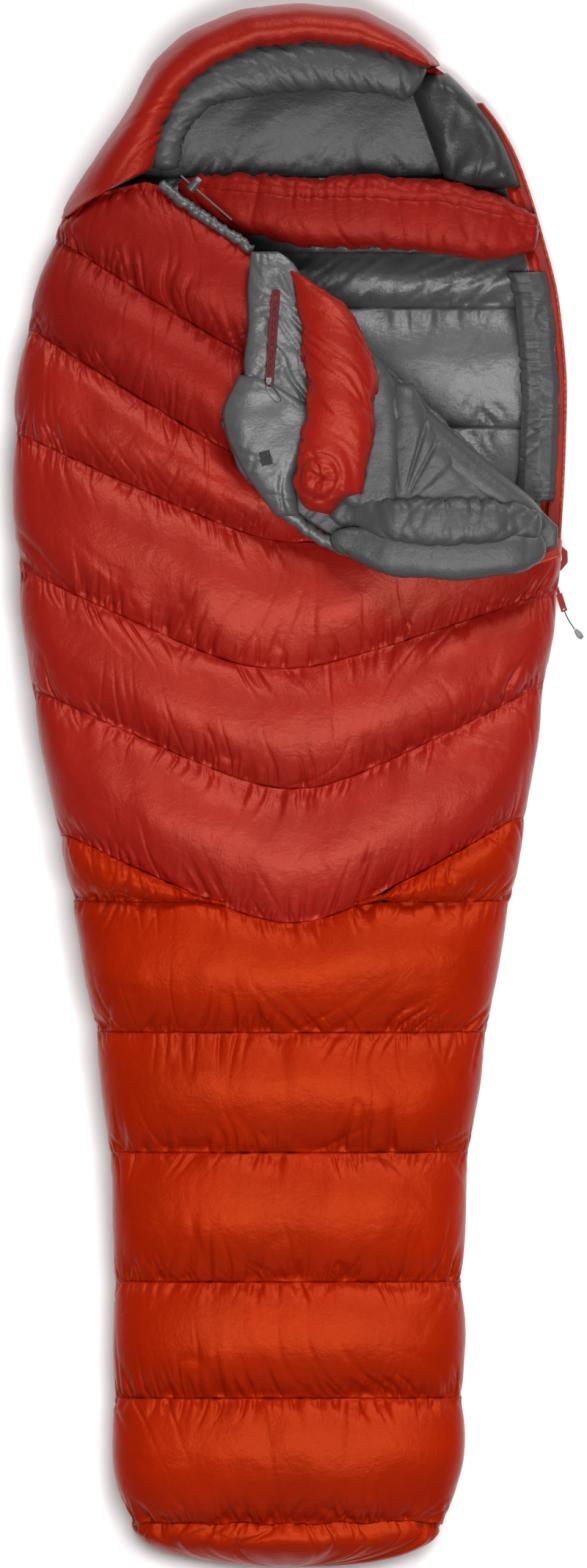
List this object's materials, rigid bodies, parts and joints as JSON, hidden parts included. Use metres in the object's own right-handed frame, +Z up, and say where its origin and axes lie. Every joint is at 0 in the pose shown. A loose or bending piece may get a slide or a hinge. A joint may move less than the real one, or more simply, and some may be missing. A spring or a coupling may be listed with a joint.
{
  "type": "mummy sleeping bag",
  "caption": "Quilted mummy sleeping bag with a shaped hood, side zip, neck collars and a turned-back top corner.",
  "frame": {"origin": "on the ground under the middle of the bag's bounding box", "axes": "+Y along the bag towards the hood, +X towards the zip side, +Z up from the ground"},
  "size_m": [0.7881, 2.15, 0.2252],
  "materials": {
    "shell_red": "satin",
    "shell_orange": "satin",
    "lining_grey": "satin",
    "zip_tape_red": "matte",
    "zip_coil_red": "gloss",
    "zip_metal": "satin",
    "pocket_zip_red": "satin",
    "hook_tape_black": "matte",
    "pull_red": "matte",
    "cord_dark": "matte",
    "cord_grey": "matte",
    "grip_grey": "matte",
    "toggle_black": "matte",
    "toggle_grey": "matte"
  },
  "bodies": {
    "bag": {"front_chamber_neck": "shell_red", "front_chamber_shoulder": "shell_red", "front_chamber_upper_chest": "shell_red", "front_chamber_chest": "shell_red", "front_chamber_waist": "shell_red", "front_chamber_hip": "shell_red", "front_chamber_thigh_left": "shell_orange", "front_chamber_thigh_right": "shell_orange", "front_chamber_knee": "shell_orange", "front_chamber_shin": "shell_orange", "front_chamber_calf": "shell_orange", "front_chamber_ankle": "shell_orange", "front_chamber_foot": "shell_orange", "foot_end": "shell_orange", "back_chamber_head": "shell_red", "back_chamber_neck": "shell_red", "back_chamber_shoulder": "shell_red", "back_chamber_upper_chest": "shell_red", "back_chamber_chest": "shell_red", "back_chamber_waist": "shell_red", "back_chamber_hip": "shell_red", "back_chamber_thigh": "shell_orange", "back_chamber_knee": "shell_orange", "back_chamber_shin": "shell_orange", "back_chamber_calf": "shell_orange", "back_chamber_ankle": "shell_orange", "back_chamber_foot": "shell_orange", "hood_crown": "shell_red", "hood_rim": "lining_grey", "hood_side_panel": "lining_grey", "back_neck_collar": "shell_red", "face_binding": "lining_grey", "back_zip_tape": "zip_tape_red", "back_zip_coil": "zip_coil_red", "zip_facing": "lining_grey", "closed_zip_tapes": "zip_tape_red", "closed_zip_coil": "zip_coil_red", "zip_bottom_stop": "zip_metal", "zip_garage": "zip_tape_red", "collar_drawcord": "cord_grey"},
    "front_flap": {"flap_shell": "shell_red", "flap_lining_outer": "lining_grey", "flap_lining_inner": "lining_grey", "flap_corner": "lining_grey", "pocket_panel": "lining_grey", "flap_draft_tube": "lining_grey", "flap_edge_roll": "lining_grey", "front_neck_collar": "shell_red", "front_zip_tape": "zip_tape_red", "front_zip_coil": "zip_coil_red", "pocket_zip": "pocket_zip_red", "hook_and_loop_tab": "hook_tape_black"},
    "main_slider": {"main_slider": "zip_metal"},
    "main_pull": {"main_pull_tab": "pull_red", "main_pull_cord": "cord_dark", "main_pull_grip": "grip_grey"},
    "pocket_slider": {"pocket_slider": "zip_metal"},
    "pocket_pull": {"pocket_pull_cord": "cord_dark"},
    "cord_lock": {"cord_lock_barrel": "toggle_black"},
    "lock_button": {"cord_lock_plunger": "toggle_grey"}
  },
  "joints": [
    {"name": "flap_fold", "type": "hinge", "parent": "bag", "child": "front_flap", "pos_m": [0.38, 0.345, 0.151], "axis": [-0.7261, 0.6876, 0], "range_deg": [0, 160]},
    {"name": "zip_slide", "type": "slide", "parent": "bag", "child": "main_slider", "axis": [-0.1401, -0.9901, 0], "range_m": [0, 0.325]},
    {"name": "pull_swing", "type": "hinge", "parent": "main_slider", "child": "main_pull", "pos_m": [0.36741, 0.27025, 0.044], "axis": [0, 0, 1], "range_deg": [0, 140]},
    {"name": "pocket_zip_slide", "type": "slide", "parent": "front_flap", "child": "pocket_slider", "axis": [0.0656, 0.9978, 0], "range_m": [0, 0.12]},
    {"name": "pocket_pull_swing", "type": "hinge", "parent": "pocket_slider", "child": "pocket_pull", "pos_m": [-0.03011, 0.55099, 0.1927], "axis": [-0.9978, 0.0656, 0], "range_deg": [0, 160]},
    {"name": "cord_lock_slide", "type": "slide", "parent": "bag", "child": "cord_lock", "axis": [0.7539, -0.657, 0], "range_m": [0, 0.035]},
    {"name": "lock_button_press", "type": "slide", "parent": "cord_lock", "child": "lock_button", "axis": [-0.657, -0.7539, 0], "range_m": [0, 0.004], "stiffness_N_per_m": 60}
  ]
}
